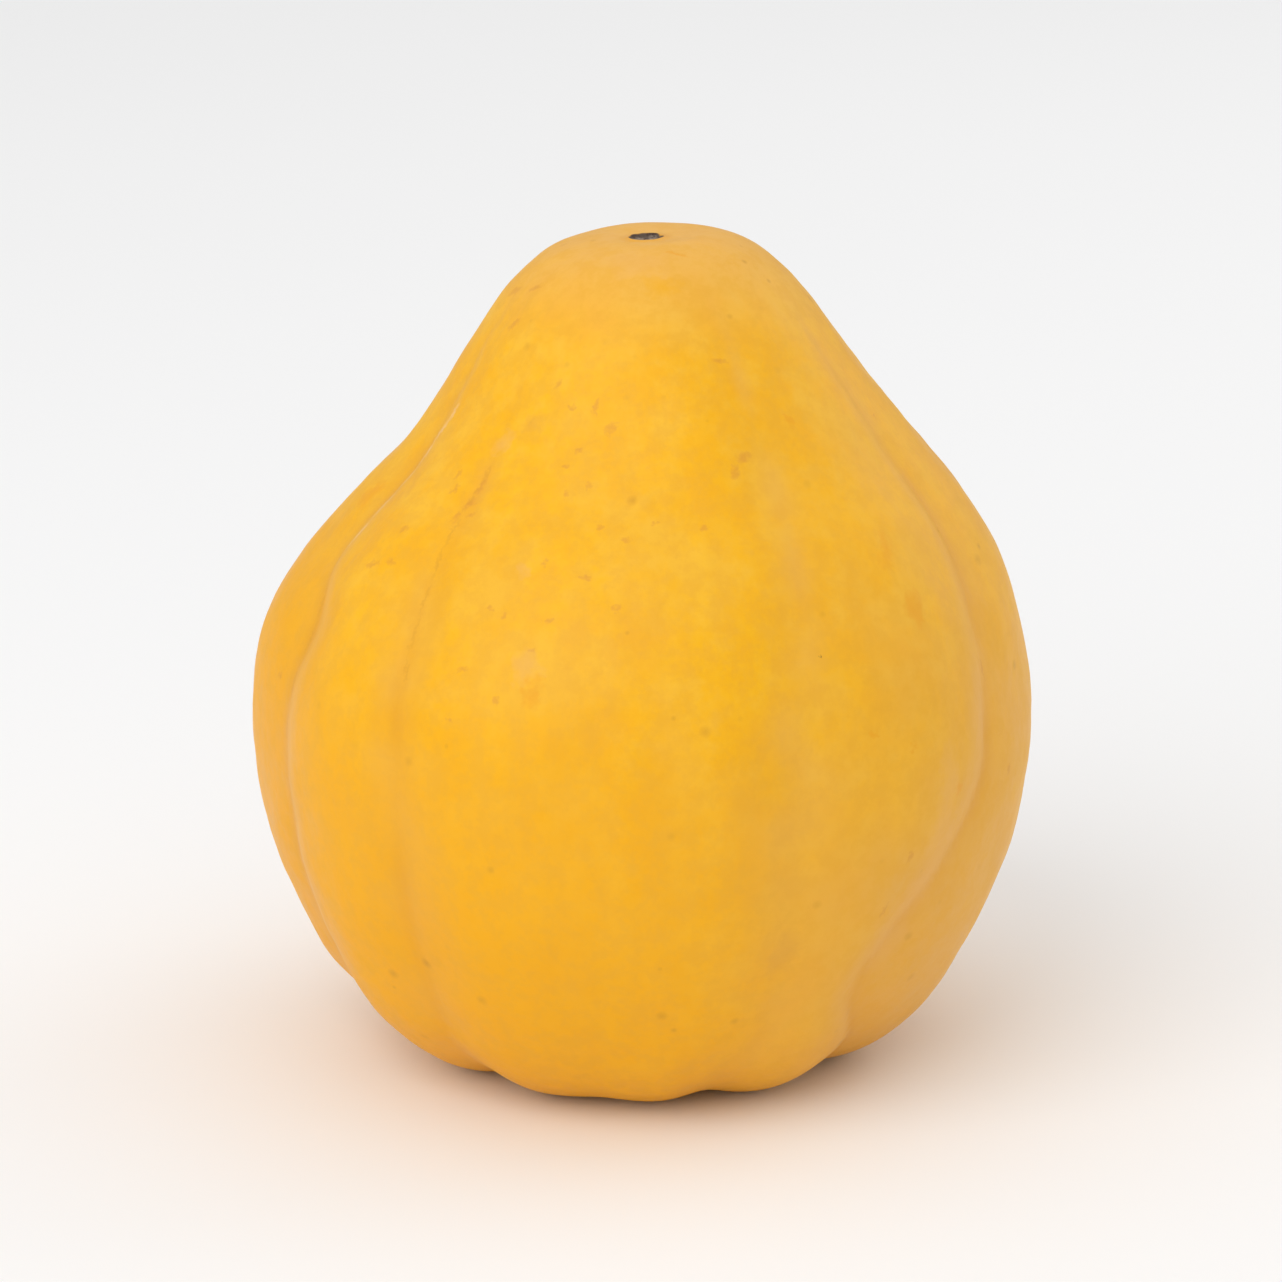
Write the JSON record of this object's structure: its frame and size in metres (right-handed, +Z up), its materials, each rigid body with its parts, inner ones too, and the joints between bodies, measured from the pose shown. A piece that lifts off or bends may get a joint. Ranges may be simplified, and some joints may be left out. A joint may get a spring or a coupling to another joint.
{
  "type": "winter squash",
  "caption": "Whole golden winter squash, pear-shaped and shallowly ribbed, standing on its wide stem end with the narrow blossom end up.",
  "frame": {"origin": "on the ground under the middle of the squash as it stands on its stem end", "axes": "+Z up, from the stem scar to the blossom scar; -Y towards the front of the squash, +X to the right seen from the front"},
  "size_m": [0.1704, 0.1712, 0.1833],
  "materials": {
    "rind": "smooth satin golden-yellow rind, faintly mottled and freckled"
  },
  "bodies": {
    "root": {"winter_squash": "rind"}
  },
  "joints": []
}
